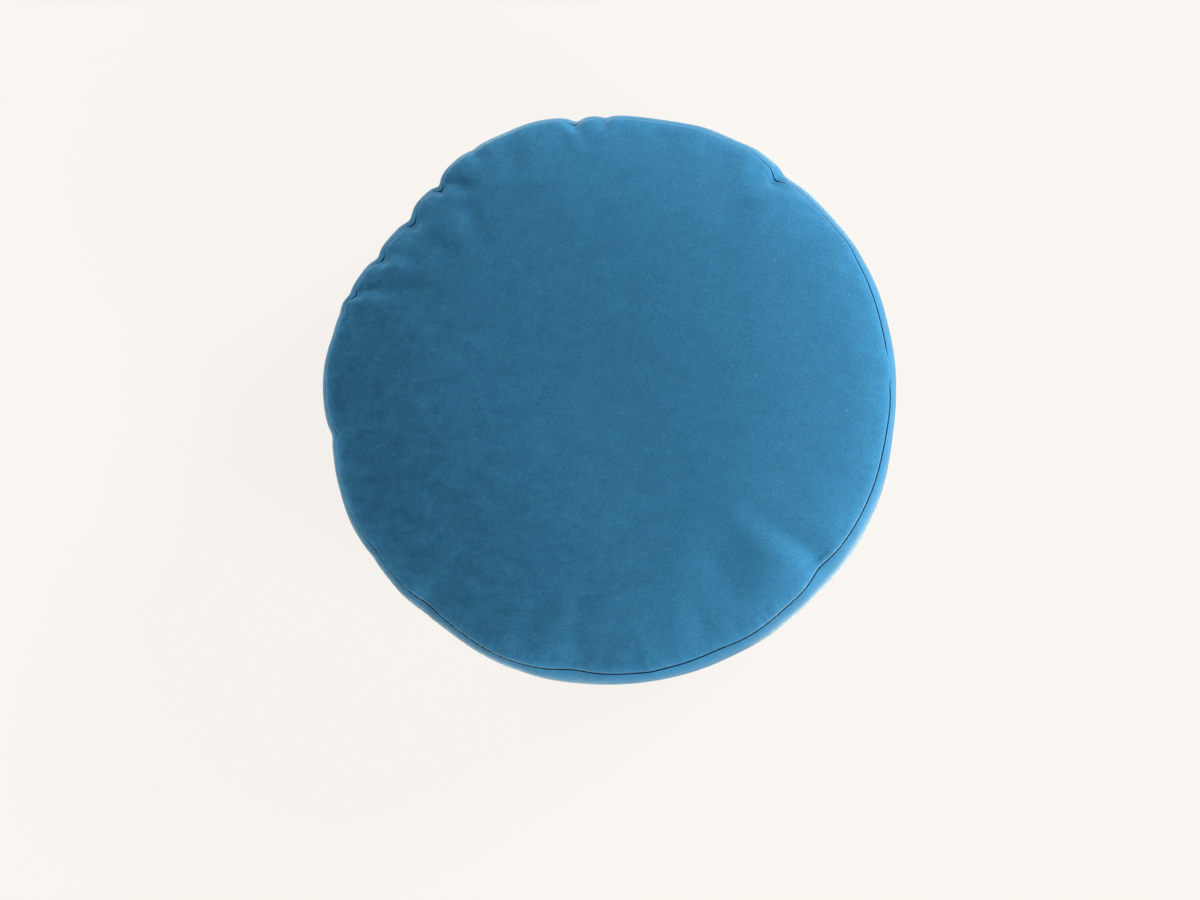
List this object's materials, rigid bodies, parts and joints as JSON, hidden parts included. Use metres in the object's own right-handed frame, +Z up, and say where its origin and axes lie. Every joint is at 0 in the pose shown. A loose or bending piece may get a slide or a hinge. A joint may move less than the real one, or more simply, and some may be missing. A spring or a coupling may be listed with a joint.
{
  "type": "round throw pillow",
  "caption": "Round boxed throw pillow in plain blue velvet: two crowned round panels with a side band sewn between them, lying on its back.",
  "frame": {"origin": "on the floor under the middle of the pillow's box, on the flat rest spot of its back panel", "axes": "+Z up out of the front panel, +Y towards the top of the front panel as pictured, +X to its right"},
  "size_m": [0.4506, 0.4474, 0.1454],
  "materials": {
    "velvet": "short-pile velvet, soft sheen"
  },
  "bodies": {
    "root": {"cushion_body": "velvet", "side_band": "velvet"}
  },
  "joints": []
}
